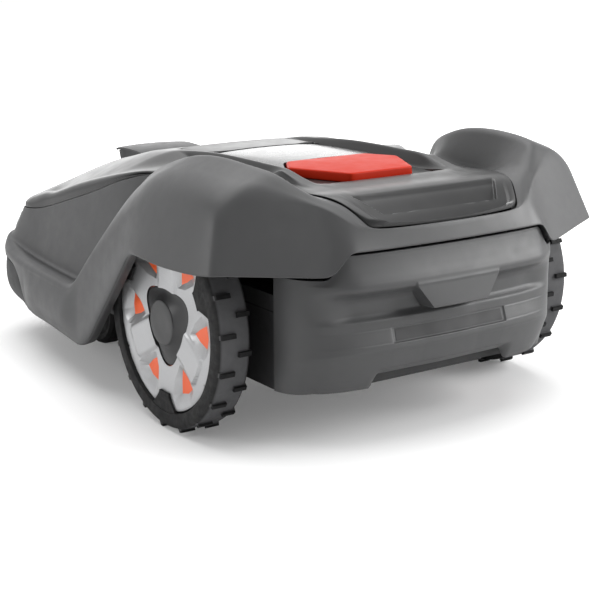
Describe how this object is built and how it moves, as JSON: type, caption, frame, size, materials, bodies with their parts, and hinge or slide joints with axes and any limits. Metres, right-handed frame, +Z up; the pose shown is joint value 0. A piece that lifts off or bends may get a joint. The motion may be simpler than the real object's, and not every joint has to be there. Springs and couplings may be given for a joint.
{
  "type": "robotic lawn mower",
  "caption": "Low robotic lawn mower: sprung grey body with flared rear fenders, treaded driven wheels, swivelling front castors, lidded control panel, stop button and cutting disc underneath.",
  "frame": {"origin": "on the ground under the middle of the outline", "axes": "+Z up, +Y the direction of travel with the front castors ahead, +X to the right"},
  "size_m": [0.5584, 0.7198, 0.3036],
  "materials": {
    "shell_grey": "fine-grained moulded plastic, satin",
    "cover_grey": "smooth painted plastic, soft gloss",
    "panel_grey": "moulded plastic, satin",
    "chassis_black": "grained moulded plastic, matt",
    "trim_black": "smooth dark plastic",
    "stop_red": "smooth red-orange plastic",
    "accent_orange": "smooth orange plastic",
    "rim_silver": "metallic silver paint",
    "tyre_black": "matt moulded rubber",
    "seal_rubber": "soft matt rubber",
    "steel": "bright steel",
    "motor_metal": "die-cast housing",
    "bush_brass": "sintered bearing metal",
    "contact_brass": "bright contact strip",
    "lamp_clear": "clear moulded lens",
    "display_glass": "dark display window",
    "board_green": "circuit board",
    "battery_grey": "shrink-wrapped cell pack",
    "key_grey": "soft-touch key",
    "key_green": "soft-touch key",
    "key_red": "soft-touch key"
  },
  "bodies": {
    "chassis": {"chassis_tub": "chassis_black", "chassis_deck": "chassis_black", "deck_seal": "seal_rubber", "rear_panel": "panel_grey", "chassis_screws": "steel", "battery_pack": "battery_grey", "battery_cover": "chassis_black", "main_board": "board_green", "left_drive_motor": "motor_metal", "right_drive_motor": "motor_metal", "suspension_posts": "seal_rubber", "console_frame": "chassis_black", "display_lens": "display_glass", "hatch_hinge_pin": "steel", "castor_bushes": "bush_brass", "height_motor": "motor_metal", "guide_rods": "steel"},
    "floating_body": {"body_shell": "shell_grey", "top_cover": "cover_grey", "front_bumper": "chassis_black", "sensor_visor": "trim_black", "range_sensors": "trim_black", "headlights": "lamp_clear", "charging_contacts": "contact_brass", "body_sockets": "chassis_black"},
    "hatch": {"hatch": "cover_grey"},
    "stop_button": {"stop_button": "stop_red"},
    "start_key": {"start_key": "key_green"},
    "park_key": {"park_key": "key_grey"},
    "mode_key": {"mode_key": "key_grey"},
    "back_key": {"back_key": "key_grey"},
    "confirm_key": {"confirm_key": "key_grey"},
    "power_key": {"power_key": "key_red"},
    "left_wheel": {"left_tyre": "tyre_black", "left_wheel_cover": "rim_silver", "left_accent_disc": "accent_orange", "left_hub_cap": "trim_black", "left_wheel_core": "chassis_black"},
    "left_castor_swivel": {"left_castor_fork": "chassis_black", "left_castor_axle": "steel"},
    "left_castor_wheel": {"left_castor_wheel": "tyre_black"},
    "right_wheel": {"right_tyre": "tyre_black", "right_wheel_cover": "rim_silver", "right_accent_disc": "accent_orange", "right_hub_cap": "trim_black", "right_wheel_core": "chassis_black"},
    "right_castor_swivel": {"right_castor_fork": "chassis_black", "right_castor_axle": "steel"},
    "right_castor_wheel": {"right_castor_wheel": "tyre_black"},
    "cutter_carriage": {"cutter_carriage": "chassis_black", "cutting_motor": "motor_metal"},
    "cutting_disc": {"cutting_disc": "steel", "disc_fasteners": "steel"},
    "blade_1": {"blade_1": "steel"},
    "blade_2": {"blade_2": "steel"},
    "blade_3": {"blade_3": "steel"},
    "skid_plate": {"skid_plate": "chassis_black"},
    "height_spindle": {"height_spindle": "steel"},
    "main_switch": {"main_switch": "stop_red"}
  },
  "joints": [
    {"name": "body_float", "type": "slide", "parent": "chassis", "child": "floating_body", "axis": [0, 1, 0], "range_m": [-0.008, 0.008], "stiffness_N_per_m": 3000},
    {"name": "hatch_hinge", "type": "hinge", "parent": "chassis", "child": "hatch", "pos_m": [0, 0.009, 0.267], "axis": [-1, 0, 0], "range_deg": [0, 100]},
    {"name": "stop_press", "type": "slide", "parent": "chassis", "child": "stop_button", "axis": [0, 0, -1], "range_m": [0, 0.004], "stiffness_N_per_m": 2000, "springref_m": -0.003},
    {"name": "start_press", "type": "slide", "parent": "chassis", "child": "start_key", "axis": [0, 0, -1], "range_m": [0, 0.0012], "stiffness_N_per_m": 1200, "springref_m": -0.001},
    {"name": "park_press", "type": "slide", "parent": "chassis", "child": "park_key", "axis": [0, 0, -1], "range_m": [0, 0.0012], "stiffness_N_per_m": 1200, "springref_m": -0.001},
    {"name": "mode_press", "type": "slide", "parent": "chassis", "child": "mode_key", "axis": [0, 0, -1], "range_m": [0, 0.0012], "stiffness_N_per_m": 1200, "springref_m": -0.001},
    {"name": "back_press", "type": "slide", "parent": "chassis", "child": "back_key", "axis": [0, 0, -1], "range_m": [0, 0.0012], "stiffness_N_per_m": 1200, "springref_m": -0.001},
    {"name": "confirm_press", "type": "slide", "parent": "chassis", "child": "confirm_key", "axis": [0, 0, -1], "range_m": [0, 0.0012], "stiffness_N_per_m": 1200, "springref_m": -0.001},
    {"name": "power_press", "type": "slide", "parent": "chassis", "child": "power_key", "axis": [0, 0, -1], "range_m": [0, 0.0012], "stiffness_N_per_m": 1200, "springref_m": -0.001},
    {"name": "left_wheel_drive", "type": "hinge", "parent": "chassis", "child": "left_wheel", "pos_m": [-0.223, -0.155, 0.1225], "axis": [1, 0, 0], "continuous": true},
    {"name": "left_castor_turn", "type": "hinge", "parent": "chassis", "child": "left_castor_swivel", "pos_m": [-0.142, 0.215, 0.13], "axis": [0, 0, 1], "continuous": true},
    {"name": "left_castor_roll", "type": "hinge", "parent": "left_castor_swivel", "child": "left_castor_wheel", "pos_m": [-0.142, 0.193, 0.05], "axis": [1, 0, 0], "continuous": true},
    {"name": "right_wheel_drive", "type": "hinge", "parent": "chassis", "child": "right_wheel", "pos_m": [0.223, -0.155, 0.1225], "axis": [1, 0, 0], "continuous": true},
    {"name": "right_castor_turn", "type": "hinge", "parent": "chassis", "child": "right_castor_swivel", "pos_m": [0.142, 0.215, 0.13], "axis": [0, 0, 1], "continuous": true},
    {"name": "right_castor_roll", "type": "hinge", "parent": "right_castor_swivel", "child": "right_castor_wheel", "pos_m": [0.142, 0.193, 0.05], "axis": [1, 0, 0], "continuous": true},
    {"name": "cutting_height", "type": "slide", "parent": "chassis", "child": "cutter_carriage", "axis": [0, 0, 1], "range_m": [-0.04, 0]},
    {"name": "spindle_turn", "type": "hinge", "parent": "chassis", "child": "height_spindle", "pos_m": [0, -0.03, 0.15], "axis": [0, 0, 1], "continuous": true},
    {"name": "disc_spin", "type": "hinge", "parent": "cutter_carriage", "child": "cutting_disc", "pos_m": [0, 0.045, 0.06], "axis": [0, 0, 1], "continuous": true},
    {"name": "blade_1_swing", "type": "hinge", "parent": "cutting_disc", "child": "blade_1", "pos_m": [0, 0.143, 0.057], "axis": [0, 0, 1], "range_deg": [-90, 90]},
    {"name": "blade_2_swing", "type": "hinge", "parent": "cutting_disc", "child": "blade_2", "pos_m": [-0.08487, -0.004, 0.057], "axis": [0, 0, 1], "range_deg": [-90, 90]},
    {"name": "blade_3_swing", "type": "hinge", "parent": "cutting_disc", "child": "blade_3", "pos_m": [0.08487, -0.004, 0.057], "axis": [0, 0, 1], "range_deg": [-90, 90]},
    {"name": "skid_spin", "type": "hinge", "parent": "cutting_disc", "child": "skid_plate", "pos_m": [0, 0.045, 0.0525], "axis": [0, 0, 1], "continuous": true},
    {"name": "main_switch_turn", "type": "hinge", "parent": "chassis", "child": "main_switch", "pos_m": [0.128, -0.262, 0.066], "axis": [0, 0, 1], "range_deg": [0, 90]}
  ],
  "couplings": [
    {"joint": "spindle_turn", "follows": "cutting_height", "rad_per_m": 314.16}
  ]
}
